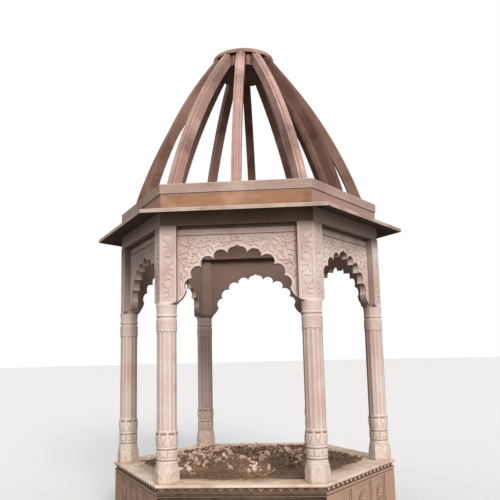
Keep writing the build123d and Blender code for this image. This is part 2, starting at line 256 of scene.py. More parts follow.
# Blocks and panels are drawn darker just under the eave and on their faces turned to the axis: painted shade
block_stone = stone(
    "carved_pink_sandstone", "#DCC7BE", "#E6D5CC", "#D0B6AB", bed=0.1, blotch=0.2, dirt_and_shade=0.4, inner=0.8,
    rising_coat=(3.10, 3.22, 0.3, PAINTED_EAVE_SHADE),
)
panel_stone = stone(
    "pierced_pink_sandstone", "#DFC9BF", "#E8D6CB", "#D3B8AD", bed=0.1, blotch=0.2, dirt_and_shade=0.35, inner=0.85,
    rising_coat=(3.12, 3.22, 0.08, PAINTED_EAVE_SHADE),
)
# Red-brown sandstone near the ground: dark on some sides, the front among them, as painted shade, and paler
# on most others; a mid brown above the frieze's foot
plinth_stone = stone(
    "plinth_red_sandstone", "#4F3B2C", "#634F3D", "#3F2E21", bed=0.4, dirt_and_shade=1.0, wear=0.3, grime_and_shade="#5C4232",
    rising_coat=(0.522, 0.528, 0.75, "#7C5E4B"), other=("#BE9A84", 0.94, 3.4),
)
# The frieze: dark on some sides, the front among them, as painted shade, paler on most others, with dark
# grime that also paints shade round the teeth
frieze_stone = stone(
    "frieze_sandstone", "#8E705D", "#A58874", "#785C4A", dirt_and_shade=1.0, wear=0.3, grime_and_shade="#3E2B20",
    other=("#DCC6B2", 0.9, 3.4),
)
# Sawn floor slabs under a film of trodden earth
rim_stone = stone(
    "dusty_floor_sandstone", "#E2CBB5", "#EBDAC8", "#C5AA91", dust=0.2, wear=0.8,
    spill=(0.70, 0.98, "#8C7054"),
)
# Courses above the arches: the lintel is dark on its front and darker still towards the eave, as painted
# shade under the eave, and paler on most other sides.
# The eave's slabs are rained on and keep a pale edge, and their dark underside is painted shade
lintel_stone = stone(
    "lintel_sandstone", "#A8907F", "#B6A08F", "#8D7463", underside_shade=0.7, inner=0.8,
    rising_coat=(3.19, 3.33, 0.42, PAINTED_EAVE_SHADE), other=("#E8D9CD", 0.95, 3.2),
)
eave_stone = stone(
    "weathered_sandstone_slab", "#C0A99C", "#D0BCB0", "#A08577", underside_shade=0.85, wear=0.5, inner=0.9
)
# Sawn ashlar from two beds: tan with soft brown blotches at the front, pinker on the other sides
coping_stone = stone(
    "coping_sandstone", "#A89185", "#BBA69A", "#8F766A", blotch=0.4, dirt_and_shade=0.2, wear=0.4,
    other=("#B1968D", 0.5, 3.2),
)
parapet_stone = stone(
    "tan_ashlar_sandstone", "#9B7459", "#B08B75", "#876043", bed=0.3, blotch=0.5, wear=0.2,
    other=("#A98A82", 0.85, 3.2),
)
# Ribs dressed with a point chisel and left rough, from three beds of the quarry. The brown and red ribs are
# partly darker stone and partly painted shade on ribs that stand in shade
rib_stone = stone(
    "chiselled_pink_sandstone", "#B28E82", "#C9A79C", "#937368", dirt_and_shade=1.0, chisel=0.35, underside_shade=0.75, wear=0.7,
    grime_and_shade="#5A3B2E",
)
brown_and_shaded_rib_stone = stone(
    "chiselled_brown_sandstone_and_painted_shade", "#806154", "#917265", "#6A4D41", dirt_and_shade=0.8, chisel=0.35, underside_shade=0.75, wear=0.4
)
red_and_shaded_rib_stone = stone(
    "chiselled_red_sandstone_and_painted_shade", "#6D4F46", "#7C5D54", "#593D35", dirt_and_shade=0.8, chisel=0.35, underside_shade=0.75, wear=0.1,
    dust=0.1,
)
# Loose fill: clayey earth with stone dust, and broken pieces with fresh pale faces
earth = stone(
    "earth_and_stone_dust", "#644A33", "#836346", "#42301F", bed=0.0, blotch=0.7, dirt_and_shade=0.5, dust=0.1
)
chip_stone = stone(
    "broken_sandstone", "#B99C89", "#DFCCBC", "#8F7060", bed=0.1, blotch=0.6, dirt_and_shade=0.7, dust=0.2, underside_shade=0.5
)

# The first entry that a node's name starts with gives its finish
FINISH = {
    "plinth_wall": plinth_stone,
    "floor_rim": rim_stone,
    "rubble_fill": earth,
    "column": column_stone,
    "corner_block": block_stone,
    "arch_panel": panel_stone,
    "lintel_ring": lintel_stone,
    "eave_ring": eave_stone,
    "parapet_ring": parapet_stone,
    "coping_ring": coping_stone,
    "rib_corner_1": brown_and_shaded_rib_stone,
    "rib_corner_4": brown_and_shaded_rib_stone,
    "rib_side_1": brown_and_shaded_rib_stone,
    "rib_side_2": brown_and_shaded_rib_stone,
    "rib_side_4": brown_and_shaded_rib_stone,
    "rib_side_6": red_and_shaded_rib_stone,
    "rib": rib_stone,
    "crown": rib_stone,
}
for name, node in nodes.items():
    finish = next(material for start, material in FINISH.items() if name.startswith(start))
    node.data.materials.clear()
    node.data.materials.append(finish)


# Carving: heights in millimetres over a grid, raised stroke by stroke

# How far round, in grid steps, and how deep, in millimetres, a hollow lies when it is drawn darkest with dirt
# and painted shade
CAVITY_REACH = 3
CAVITY_DEPTH = 2.6


def span(low, high, step):
    """Even places from low to high, about a step apart."""
    return np.linspace(low, high, int(round((high - low) / step)) + 1)


def ease(values, low, high):
    """0 below low and 1 above high, with a smooth rise between them."""
    t = np.clip((values - low) / (high - low), 0, 1)
    return t * t * (3 - 2 * t)


class Carving:
    """Heights, and dirt and painted shade besides what hollows get, at each place across and each place up.
    """

    def __init__(self, across, up):
        self.u, self.v = across, up
        self.h = np.zeros((len(up), len(across)))
        self.dirt_and_shade = np.zeros_like(self.h)

    def near(self, points, margin):
        """Rows and columns that lie round some points, up to the margin away."""
        low, high = points.min(0) - margin, points.max(0) + margin
        rows = np.flatnonzero((self.v > low[1]) & (self.v < high[1]))
        cols = np.flatnonzero((self.u > low[0]) & (self.u < high[0]))
        return rows, cols

    def raise_to(self, rows, cols, heights):
        self.h[np.ix_(rows, cols)] = np.maximum(self.h[np.ix_(rows, cols)], heights)

    def stroke(self, spine, width, height, leaf=True, lobes=0.0, taper=0.4):
        """A rounded stem along a line, or a leaf with a midrib, side veins and lobed edges."""
        spine = np.asarray(spine, float)
        rows, cols = self.near(spine, width)
        if not len(rows) or not len(cols):
            return
        du = self.u[cols][None, :, None] - spine[None, None, :, 0]
        dv = self.v[rows][:, None, None] - spine[None, None, :, 1]
        gap = np.sqrt(du**2 + dv**2)
        nearest = gap.argmin(-1)
        away = np.take_along_axis(gap, nearest[..., None], -1)[..., 0]
        along = nearest / (len(spine) - 1)
        if leaf:
            reach = width * np.sin(pi * np.clip(along, 0.02, 1) ** 0.72) ** 0.8
            if lobes:
                reach = reach * (0.74 + 0.26 * np.abs(np.cos(pi * lobes * along)))
        else:
            reach = width * (1 - taper * along)
        share = np.clip(away / np.maximum(reach, 0.3), 0, 1)
        body = np.sqrt(1 - share**2)
        if leaf:
            midrib = 0.30 * np.exp(-((away / (0.14 * width + 0.8)) ** 2))
            veins = 0.10 * np.cos(2 * pi * (max(lobes, 2.0) * along - 0.7 * share))
            body = body * (1 - midrib + veins * (share > 0.2))
        self.raise_to(rows, cols, np.where(share < 1, height * (0.3 + 0.7 * body), 0))

    def flower(self, centre, radius, height, petals):
        """A round flower with notched petals and a button in the middle."""
        centre = np.asarray(centre, float)
        rows, cols = self.near(centre[None, :], radius)
        if not len(rows) or not len(cols):
            return
        du = self.u[cols][None, :] - centre[0]
        dv = self.v[rows][:, None] - centre[1]
        far = np.sqrt(du**2 + dv**2)
        turn = np.arctan2(dv, du)
        edge = radius * (0.72 + 0.28 * np.abs(np.cos(petals * turn / 2)))
        share = np.clip(far / edge, 0, 1)
        body = (0.55 + 0.45 * np.sqrt(1 - share**2)) * (0.78 + 0.22 * np.abs(np.cos(petals * turn / 2)))
        body = np.where(share < 0.28, 1.05 * np.sqrt(np.clip(1 - (share / 0.34) ** 2, 0, 1)), body)
        self.raise_to(rows, cols, np.where(share < 1, height * body, 0))


def bent_line(start, heading, length, bend, count=16):
    """Points of a line that turns evenly by the bend, in radians, over its length."""
    steps = np.linspace(0, 1, count)
    angles = heading + bend * steps
    moves = np.stack([np.cos(angles), np.sin(angles)], 1) * length / (count - 1)
    return np.asarray(start, float) + np.concatenate([[[0, 0]], np.cumsum(moves[:-1], 0)])


def volute(centre, radius, start, turns, hand, count=70):
    """Points of a spiral that winds in towards its centre."""
    steps = np.linspace(0, 1, count)
    angles = start + hand * 2 * pi * turns * steps
    radii = radius * (1 - 0.78 * steps**0.85)
    return np.asarray(centre, float) + np.stack([np.cos(angles), np.sin(angles)], 1) * radii[:, None]


def running_scroll(carving, circles, hand, entry, stem, height):
    """A stem that winds into one volute after another, each turning against the last, with leaves."""
    leaves = 6
    before, size = np.asarray(entry, float), 0.0
    for centre, radius in circles:
        centre = np.asarray(centre, float)
        toward = centre - before
        lean = -hand * asin(min(0.98, (size + radius) / np.hypot(*toward)))
        heading = atan2(toward[1], toward[0]) + lean
        left = np.array((-sin(heading), cos(heading)))
        leave = before + hand * left * size
        arrive = centre - hand * left * radius
        bridge = leave + (arrive - leave) * np.linspace(0, 1, 24)[:, None]
        carving.stroke(bridge, stem, height, leaf=False, taper=0)
        start = atan2(arrive[1] - centre[1], arrive[0] - centre[0])
        carving.stroke(volute(centre, radius, start, 0.7, hand), stem, height, leaf=False, taper=0.6)
        carving.flower(centre, 0.24 * radius, height * 1.05, 6)
        for k in range(leaves):
            angle = start + hand * (0.3 + 1.75 * pi / leaves * k)
            out = np.array((cos(angle), sin(angle)))
            forward = angle + hand * pi / 2
            foot = centre + out * radius * (1 - 0.05 * k)
            outer = bent_line(foot, forward - hand * 0.6, 1.15 * radius, -hand * 1.5)
            carving.stroke(outer, 0.24 * radius, height * 0.95, lobes=4)
            inner = bent_line(foot, forward + hand * 0.7, 0.7 * radius, hand * 0.9)
            carving.stroke(inner, 0.17 * radius, height * 0.85, lobes=2)
        before, size, hand = centre, radius, -hand


def paisleys(carving, low, high, count, reach, stem, height):
    """Large curled leaves, one above another and leaning left and right by turns, on one long stem."""
    pitch = (high - low) / count
    for k in range(count):
        hand = 1 if k % 2 == 0 else -1
        foot = low + k * pitch
        outer = bent_line((-hand * reach * 0.9, foot), pi / 2 - hand * 0.2, 1.25 * pitch, -hand * 1.0, 40)
        carving.stroke(outer, stem, height, leaf=False, taper=0.2)
        eye = (hand * reach * 0.12, foot + 0.62 * pitch)
        curl = volute(eye, 0.34 * pitch, pi / 2 + hand * 1.9, 0.9, -hand, 60)
        carving.stroke(curl, stem, height, leaf=False, taper=0.3)
        heart = bent_line((eye[0] - hand * 6, eye[1] - 0.2 * pitch), pi / 2, 0.36 * pitch, -hand * 1.1, 24)
        carving.stroke(heart, 0.15 * pitch, height * 1.1, lobes=3)
        for spring, lean, size in ((0.12, 0.5, 0.42), (0.30, 0.1, 0.34)):
            start = (hand * reach * 0.15, foot + spring * pitch)
            side = bent_line(start, pi / 2 - hand * (1.1 + lean), size * pitch, -hand, 20)
            carving.stroke(side, 0.12 * pitch, height, lobes=2)


# Surfaces from carvings

def mean_near(h, reach):
    """The mean of each height and its neighbours, up to the reach away."""
    padded = np.pad(h, reach, mode="edge")
    total = np.zeros_like(h)
    width = 2 * reach + 1
    for i in range(width):
        for j in range(width):
            total += padded[i:i + h.shape[0], j:j + h.shape[1]]
    return total / width**2


def sheet(carving, keep=None, closed=False):
    """Points (across, up, height, cavity) and faces of a carving, cut along keep's zero line.

    A closed sheet runs right round, so its last column is joined to its first.
    """
    rows, cols = carving.h.shape
    uu, vv = np.meshgrid(carving.u, carving.v)
    # Dirt and painted shade: darker where a place lies under the mean of its neighbours, plus the carving's
    # own
    around = mean_near(carving.h, CAVITY_REACH)
    hollow = np.clip((around - carving.h) / CAVITY_DEPTH + carving.dirt_and_shade, 0, 1)
    values = np.stack([uu, vv, carving.h, hollow], -1).reshape(-1, 4)
    index = np.arange(rows * cols).reshape(rows, cols)
    if closed:
        index = np.concatenate([index, index[:, :1]], 1)
    corners = np.stack([index[:-1, :-1], index[:-1, 1:], index[1:, 1:], index[1:, :-1]], -1).reshape(-1, 4)
    if keep is None:
        return values, corners.tolist()
    level = keep.reshape(-1)
    inside = level[corners] > 0
    faces = corners[inside.all(1)].tolist()
    points = values.tolist()
    crossing = {}
    for quad in corners[inside.any(1) & ~inside.all(1)]:
        face = []
        for a, b in zip(quad, np.roll(quad, -1)):
            if level[a] > 0:
                face.append(int(a))
            if (level[a] > 0) != (level[b] > 0):
                key = (min(a, b), max(a, b))
                if key not in crossing:
                    f = level[key[0]] / (level[key[0]] - level[key[1]])
                    crossing[key] = len(points)
                    points.append((values[key[0]] * (1 - f) + values[key[1]] * f).tolist())
                face.append(crossing[key])
        if len(face) > 2:
            faces.append(face)
    used = np.unique(np.concatenate([np.array(f) for f in faces]))
    new = {int(old): k for k, old in enumerate(used)}
    return np.array(points)[used], [[new[i] for i in f] for f in faces]


def onto_side(index, face):
    """Places sheet points on one of the six sides: the front is number 0."""
    turn = radians(-90 + 360 / SIDES * index)

    def place(points):
        far = face + points[:, 2]
        x = far * cos(turn) - points[:, 0] * sin(turn)
        y = far * sin(turn) + points[:, 0] * cos(turn)
        return np.stack([x, y, points[:, 1]], 1) * MM
    return place


def round_column(index):
    """Places sheet points round a column: across is the angle in degrees, height is the radius."""
    spot = radians(360 / SIDES * index)

    def place(points):
        turn = np.radians(points[:, 0]) + spot
        x = COLUMN_CIRCLE * cos(spot) + points[:, 2] * np.cos(turn)
        y = COLUMN_CIRCLE * sin(spot) + points[:, 2] * np.sin(turn)
        return np.stack([x, y, points[:, 1]], 1) * MM
    return place


def keep_piece(name, mesh, material, angle=50):
    """An object of the part: its material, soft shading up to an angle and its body."""
    mesh.materials.clear()
    mesh.materials.append(material)
    mesh.shade_smooth()
    mesh.set_sharp_from_angle(angle=radians(angle))
    made = bpy.data.objects.new(name, mesh)
    bpy.context.collection.objects.link(made)
    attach(made, "root")
    return made


def piece(name, parts, material, skirt):
    """One object from several (points, faces, place) sheets, their open edges turned back by the skirt."""
    mesh = bpy.data.meshes.new(name)
    places, faces, dirt_and_shade, start = [], [], [], 0
    for points, sheet_faces, place in parts:
        edges = {}
        for face in sheet_faces:
            for a, b in zip(face, face[1:] + face[:1]):
                key = (min(a, b), max(a, b))
                edges[key] = None if key in edges else (a, b)
        open_edges = [e for e in edges.values() if e]
        rim = sorted({a for e in open_edges for a in e})
        back = {old: len(points) + k for k, old in enumerate(rim)}
        sunk = points[rim].copy()
        sunk[:, 2] -= skirt
        points = np.concatenate([points, sunk])
        sheet_faces = sheet_faces + [[b, a, back[a], back[b]] for a, b in open_edges]
        places.append(place(points))
        dirt_and_shade.append(points[:, 3])
        faces.extend([[i + start for i in f] for f in sheet_faces])
        start += len(points)
    mesh.from_pydata(np.concatenate(places).tolist(), [], faces)
    # How dark each point is drawn, with dirt and painted shade, for the material
    attribute = mesh.attributes.new("cavity", "FLOAT", "POINT")
    attribute.data.foreach_set("value", np.concatenate(dirt_and_shade).astype(np.float32))
    mesh.validate()
    return keep_piece(name, mesh, material)


# Arch spandrels: a leafy scroll between the plain margin of the cusps and the band above

# The solid's half arch: places are (across, height) from the middle of its foot
ARCH_STEP = 4.5
ARCH_SKIRT = 3.0
ARCH_RISE = 583.0
TIP_SHOULDER = (52.0, 560.0)
TIP_BULGE = -6.5
CROWN_BULGE = 13.0
CUSPS = ((105.0, 496.0), (250.0, 444.0), (381.0, 363.0), (481.0, 244.0), (542.0, 118.0), (ARCH_HALF, 0.0))
BULGES = (67.0, 67.0, 58.0, 45.0, -13.0)

# The carved field on it
FIELD_TOP = Z_LINTEL - Z_BLOCK - 100.0
MARGIN = 24.0
MARGIN_HEIGHT = 6.0
LEAF_HEIGHT = 8.5

# Volutes of the scroll from the tip to the foot: (across, height, radius)
VOLUTES = ((170, 616, 42), (312, 590, 64), (480, 566, 86), (560, 396, 62), (594, 262, 30))

# Leaves that fill the gaps: (across, height, heading, length, width)
FILLERS = (
    (10, 628, 0.5, 80, 15), (0, 668, -0.1, 90, 12), (232, 662, -0.2, 80, 14), (222, 528, 0.6, 70, 14),
    (388, 664, -0.3, 80, 15), (420, 446, -0.8, 90, 17), (590, 652, -1.2, 90, 18), (628, 506, -1.9, 90, 15),
)


def arc_points(start, end, bulge, count=24):
    """Points of an arc under a half circle between two points, set out by its bulge from the chord."""
    start, end = np.asarray(start, float), np.asarray(end, float)
    chord = np.hypot(*(end - start))
    across = (end - start) / chord
    turn = 1 if bulge > 0 else -1
    up = np.array((-across[1], across[0])) * turn
    size = abs(bulge)
    radius = chord**2 / (8 * size) + size / 2
    centre = (start + end) / 2 + up * (size - radius)
    half = asin(chord / 2 / radius)
    angles = atan2(up[1], up[0]) + turn * np.linspace(half, -half, count)
    return centre + radius * np.stack([np.cos(angles), np.sin(angles)], 1)


def arch_outline():
    """The right half of the arch from its tip to its foot."""
    tip = (0, ARCH_RISE)
    runs = [arc_points(tip, TIP_SHOULDER, TIP_BULGE), arc_points(TIP_SHOULDER, CUSPS[0], CROWN_BULGE)]
    runs += [arc_points(a, b, bulge) for a, b, bulge in zip(CUSPS, CUSPS[1:], BULGES)]
    return np.concatenate(runs) + (0, Z_BLOCK)


def arch_carving():
    """The carved field of a whole arch, and how far each place is from the arch's edge."""
    half = Carving(span(0.0, ARCH_HALF - 0.5, ARCH_STEP), span(Z_BLOCK + 2, Z_BLOCK + FIELD_TOP, ARCH_STEP))
    line = arch_outline()
    uu, vv = np.meshgrid(half.u, half.v)
    flat = np.stack([uu.ravel(), vv.ravel()], 1)
    away = np.concatenate(
        [np.sqrt(((part[:, None, :] - line[None]) ** 2).sum(-1)).min(1) for part in np.array_split(flat, 40)]
    ).reshape(uu.shape)
    loop = np.concatenate([line, [(ARCH_HALF, Z_BLOCK - 50), (-50, Z_BLOCK - 50), (-50, line[0, 1])]])
    odd = np.zeros(uu.shape, bool)
    for (ax, ay), (bx, by) in zip(loop, np.roll(loop, -1, 0)):
        if ay != by:
            odd ^= ((ay > vv) != (by > vv)) & (uu < (bx - ax) * (vv - ay) / (by - ay) + ax)
    depth = np.where(odd, -away, away)

    def at(x, z):
        return (x, Z_BLOCK + z)

    circles = [(at(x, z), radius) for x, z, radius in VOLUTES]
    running_scroll(half, circles, hand=1, entry=at(14, 648), stem=7.0, height=9.0)
    for x, z, heading, length, width in FILLERS:
        half.stroke(bent_line(at(x, z), heading, length, 0.8), width, LEAF_HEIGHT, lobes=3)
    half.stroke(bent_line(at(604, 228), -1.75, 190, 0.2, 30), 16.0, LEAF_HEIGHT, lobes=5)
    half.stroke(bent_line(at(500, 336), 0.2, 80, -0.9, 20), 15.0, 8.0, lobes=3)

    # The plain margin follows the cusps and dies softly into the field
    half.h = half.h * ease(depth, MARGIN - 10, MARGIN)
    half.h = np.maximum(half.h, MARGIN_HEIGHT * (1 - ease(depth, MARGIN - 8, MARGIN + 8)))
    half.h = half.h * (1 - ease(half.v, Z_BLOCK + FIELD_TOP - 12, Z_BLOCK + FIELD_TOP - 6))[:, None]
    edge = ease(half.u, ARCH_HALF - 16, ARCH_HALF - 10)[None, :]
    half.h = np.maximum(half.h * (1 - edge), edge * MARGIN_HEIGHT)

    full = Carving(np.concatenate([-half.u[:0:-1], half.u]), half.v)
    full.h = np.concatenate([half.h[:, :0:-1], half.h], 1) + 1.0
    return full, np.concatenate([depth[:, :0:-1], depth], 1) - 0.8


points, faces = sheet(*arch_carving())
for side in range(SIDES):
    placed = [(points, faces, onto_side(side, PANEL_FACE))]
    piece(f"arch_carving_{side + 1}", placed, panel_stone, ARCH_SKIRT)

# Corner blocks: curled leaves inside a plain border, in the sunk field of each outer face
FIELD_HALF = 72.0
BORDER = 13.0
BORDER_HEIGHT = 4.4
BLOCK_STEP = 4.1
BLOCK_SKIRT = 2.0
leafy = Carving(span(-FIELD_HALF, FIELD_HALF, BLOCK_STEP), span(Z_BLOCK + 15, Z_LINTEL - 15, BLOCK_STEP))
paisleys(leafy, Z_BLOCK + 36, Z_LINTEL - 40, count=3, reach=42.0, stem=9.0, height=5.5)
inside = np.minimum(
    np.minimum(leafy.u - leafy.u[0], leafy.u[-1] - leafy.u)[None, :],
    np.minimum(leafy.v - leafy.v[0], leafy.v[-1] - leafy.v)[:, None],
)
border = 1 - ease(inside, BORDER, BORDER + 4)
leafy.h = np.maximum(leafy.h * (1 - border), border * BORDER_HEIGHT) + 0.7
points, faces = sheet(leafy)
block_middle = BLOCK_FACE * tan(pi / SIDES) - BLOCK_WIDTH / 2
for corner in range(SIDES):
    parts = []
    for side, hand in ((corner + 1, 1), (corner + 2, -1)):
        moved = points.copy()
        moved[:, 0] = points[:, 0] * hand + hand * block_middle
        shown = faces if hand > 0 else [f[::-1] for f in faces]
        parts.append((moved, shown, onto_side(side, BLOCK_FACE - FIELD_SINK)))
    piece(f"block_carving_{corner + 1}", parts, block_stone, BLOCK_SKIRT)


# Plinth panels: a fan of leaves over two scrolls in each of the sunk panels

PANEL_LOW = 121.0
PANEL_HIGH = 444.0
PANEL_SPACING = 425.0
PANEL_STEP = 4.6
PANEL_SKIRT = 2.0


def spray(half_width):
    """The fan of one panel: long leaves, short ones on top of them, and a scroll at each side below."""
    panel = Carving(span(-half_width, half_width, PANEL_STEP), span(PANEL_LOW, PANEL_HIGH, PANEL_STEP))
    low, tall = PANEL_LOW, PANEL_HIGH - PANEL_LOW
    crown = low + 0.45 * tall
    panel.stroke([(0, v) for v in np.linspace(low + 10, crown, 40)], 8.0, 9.0, leaf=False, taper=0.2)
    panel.stroke(bent_line((0, crown), pi / 2, 0.47 * tall, 0), 0.05 * half_width + 8, 9.5, lobes=3)
    for hand in (1, -1):
        for lean in (0.42, 0.84, 1.26, 1.7):
            reach = 0.45 * tall * cos(lean) ** 2 + 0.88 * half_width * sin(lean) ** 2
            long_leaf = bent_line((0, crown), pi / 2 - hand * (lean - 0.12), reach, -hand * 0.3, 24)
            panel.stroke(long_leaf, 0.06 * half_width + 6, 9.5, lobes=3)
            short_leaf = bent_line((0, crown), pi / 2 - hand * (lean - 0.21), 0.55 * reach, -hand * 0.2)
            panel.stroke(short_leaf, 0.04 * half_width + 5, 12.0, lobes=2)
        eye = np.array((hand * 0.54 * half_width, low + 0.21 * tall))
        radius = 0.27 * half_width
        panel.stroke(np.linspace((0, low + 14), eye - (0, radius), 24), 7.0, 9.0, leaf=False, taper=0)
        panel.stroke(volute(eye, radius, -pi / 2, 0.9, hand), 7.0, 9.0, leaf=False, taper=0.5)
        panel.flower(eye, 0.3 * radius, 9.5, 6)
    panel.flower((0, crown), 22.0, 12.5, 6)
    panel.h += 0.8
    return sheet(panel)


side_spray = spray(105.0)
middle_spray = spray(164.0)
for side in range(SIDES):
    parts = []
    for place, (points, faces) in ((-1, side_spray), (0, middle_spray), (1, side_spray)):
        moved = points.copy()
        moved[:, 0] += place * PANEL_SPACING
        parts.append((moved, faces, onto_side(side, PLINTH_FACE - PANEL_SINK)))
    piece(f"plinth_carving_{side + 1}", parts, plinth_stone, PANEL_SKIRT)

# Columns: pillows round the waist, then one surface of petals, flutes and necking, then a capital.
# Each height of the grid is a radius here, and each place across is an angle
FLUTES = 12
PETALS = 8
NET_CELLS = 16
TURNS = np.arange(0, 360, 2.5)
SHAFT_FACE = 103.4
NECKING_FACE = WAIST_RADIUS + 1.4
COLUMN_SKIRT = 6.0
petal = ((TURNS / 360 * PETALS) % 1.0 - 0.5)[None, :]


def waist():
    """Eight shallow pillows between the two rings, each with a small hollow at its foot."""
    band = Carving(TURNS, span(Z_WAIST + 1, Z_WAIST + 75, 3.2))
    rise = np.minimum(band.v - band.v[0], band.v[-1] - band.v)[:, None]
    pillow = np.clip(1 - (np.abs(petal) / 0.47) ** 4, 0, 1) ** 0.6 * np.clip(rise / 10.0, 0, 1) ** 0.5
    foot = (band.v - band.v[0] - 8)[:, None]
    hollow = np.exp(-((petal / 0.2) ** 2)) * np.exp(-((foot / 8.0) ** 2))
    band.h = WAIST_RADIUS + 0.6 + 4.2 * pillow - 3.5 * hollow
    # Darker between the pillows and in their hollows: dirt and painted shade
    band.dirt_and_shade = 0.5 * (1 - pillow) + 0.35 * hollow
    return band


def shaft():
    """Petals with folded lips, then rounded flutes, then a patterned necking with a scalloped foot."""
    rows = np.concatenate([
        span(Z_LEAF + 1, Z_SHAFT - 34, 4.5), span(Z_SHAFT - 31, Z_SHAFT + 18, 2.6),
        span(Z_SHAFT + 22, Z_SHAFT + 50, 4.5), np.linspace(Z_SHAFT + 60, Z_NECKING - 45, 8),
        span(Z_NECKING - 36, Z_NECKING + 16, 2.6), span(Z_NECKING + 19, Z_NECK_TOP, 3.2),
    ])
    band = Carving(TURNS, rows)
    part = ((TURNS / 360 * FLUTES) % 1.0 - 0.5)[None, :]
    z = rows[:, None]

    # Flutes: soft channels between narrow fillets, with round ends
    room = np.minimum(z - (Z_SHAFT + 12), Z_NECKING - 14 - z)
    inside = 1 - (np.abs(part) / 0.40) ** 2.4 - np.clip(1 - room / 22.0, 0, 2) ** 2
    flute = SHAFT_FACE - 3.8 * np.clip(inside, 0, 1) ** 0.6

    # Swelling with eight petals marked off by V grooves, whose tips fold out as lips over dark slots
    t = np.clip((z - Z_LEAF) / (Z_SHAFT - Z_LEAF), 0, 1)
    swelling = 99.2 + 31.45 * t - 25.45 * t**2
    away = np.abs(petal)
    groove = np.exp(-(((away - 0.46 * np.clip((t - 0.12) / 0.88, 0, 1)) / 0.04) ** 2)) * (t > 0.1)
    lip = Z_SHAFT - 4 + 8 * (2 * away) ** 2
    slot = ease(z, lip - 26, lip - 19) * (1 - ease(z, lip - 6, lip - 3)) * (1 - ease(away, 0.30, 0.38))
    fold = np.exp(-(((z - lip - 2) / 5.0) ** 2))
    leaves = swelling + 3.6 - 2.4 * groove + 2.6 * fold - 6.5 * slot
    leaves = np.maximum(leaves, swelling - 0.2)

    # Necking with a fine net of leaves and a foot of eight hanging scallops
    foot = Z_NECKING - 8 + 14 * (2 * petal) ** 2
    over = np.clip((z - foot) / 2.6, 0, 1)
    bead = 2.4 * np.exp(-(((z - foot - 7) / 5.0) ** 2))
    cell = (TURNS / 360 * NET_CELLS)[None, :]
    waver = 0.22 * np.sin(2 * pi * 3 * cell / NET_CELLS)
    climb = (z - Z_NECKING - 30) / 34.0 + waver
    net = np.abs(np.sin(pi * (cell + climb))) * np.abs(np.sin(pi * (cell - climb)))
    field = np.clip((z - foot - 20) / 4.0, 0, 1) * np.clip((Z_NECK_TOP - 8 - z) / 4.0, 0, 1)
    necking = NECKING_FACE + bead + field * (2.4 * np.clip(net * 2.0, 0, 1) - 0.6)

    # The three join at the lips and at the scallops. Slots, grooves, flutes, the line under the scallops and
    # the net's pits are drawn darker: dirt and painted shade
    upper = np.maximum(flute, SHAFT_FACE * (z < Z_SHAFT + 8)) + 3.0 * fold
    lower = np.where(z < Z_SHAFT + 2, leaves, upper)
    band.h = lower * (1 - over) + np.maximum(necking, flute) * over
    carved = np.where(z < Z_SHAFT + 2, 1.3 * slot + 0.5 * groove, 0.13 * np.clip(inside, 0, 1) ** 0.6)
    under = np.exp(-(((z - foot + 5) / 3.5) ** 2))
    band.dirt_and_shade = (carved + 0.7 * under) * (1 - over) + 0.2 * field * np.clip(1 - 1.8 * net, 0, 1) * over
    return band


def capital():
    """Eight upright petals in low relief on the flare under the block."""
    band = Carving(TURNS, span(Z_SEAT + 2, Z_SEAT + 94, 3.6))
    t = ((band.v - Z_SEAT) / 95)[:, None]
    flare = 100 - 2 * t + 10 * t**2
    share = np.abs(petal) / (0.46 * np.clip(1 - (t - 0.1) ** 4, 0, 1))
    outline = np.exp(-(((share - 0.82) / 0.10) ** 2))
    midrib = 0.7 * np.exp(-((share / 0.09) ** 2)) * (1 - ease(t, 0.6, 0.8))
    tip = ease(t, 0.78, 0.86) * (share < 0.75)
    band.h = flare + 1.6 + 1.8 * np.clip(outline + midrib, 0, 1) + 1.2 * tip
    return band


rings = [sheet(band, closed=True) for band in (waist(), shaft(), capital())]
for corner in range(SIDES):
    parts = [(p, f, round_column(corner)) for p, f in rings]
    piece(f"column_carving_{corner + 1}", parts, column_stone, COLUMN_SKIRT)


# Pieces that repeat

def node_tree(name, inputs):
    """A geometry tree with named inputs; gives the tree, its input sockets and its last node."""
    tree = bpy.data.node_groups.new(name, "GeometryNodeTree")
    tree.interface.new_socket("Geometry", in_out="INPUT", socket_type="NodeSocketGeometry")
    for label, kind in inputs.items():
        tree.interface.new_socket(label, in_out="INPUT", socket_type=kind)
    tree.interface.new_socket("Geometry", in_out="OUTPUT", socket_type="NodeSocketGeometry")
    return tree, tree.nodes.new("NodeGroupInput").outputs, tree.nodes.new("NodeGroupOutput")


def grown(base, tree, values):
    """The plain mesh that a tree makes of a base object."""
    modifier = base.modifiers.new(tree.name, "NODES")
    modifier.node_group = tree
    for item in tree.interface.items_tree:
        if item.in_out == "INPUT" and item.name in values:
            modifier[item.identifier] = values[item.name]
    bpy.context.collection.objects.link(base)
    seen = base.evaluated_get(bpy.context.evaluated_depsgraph_get())
    mesh = bpy.data.meshes.new_from_object(seen)
    base.modifiers.remove(modifier)
    bpy.data.objects.remove(base)
    return mesh


# Tooth frieze: inverted triangles under the rim, 17 to a side
TEETH = 17
TOOTH_PITCH = 97.0
TOOTH_WIDTH = 92.0
TOOTH_TOP = 570.0
TOOTH_TIP = 525.0

# Each ring of a tooth: (how far it stands from the wall, its share of the full outline, its dirt and painted
# shade)
TOOTH_RINGS = ((0.0, 1.0, 1.0), (7.0, 0.97, 1.0), (12.0, 0.74, 0.0))


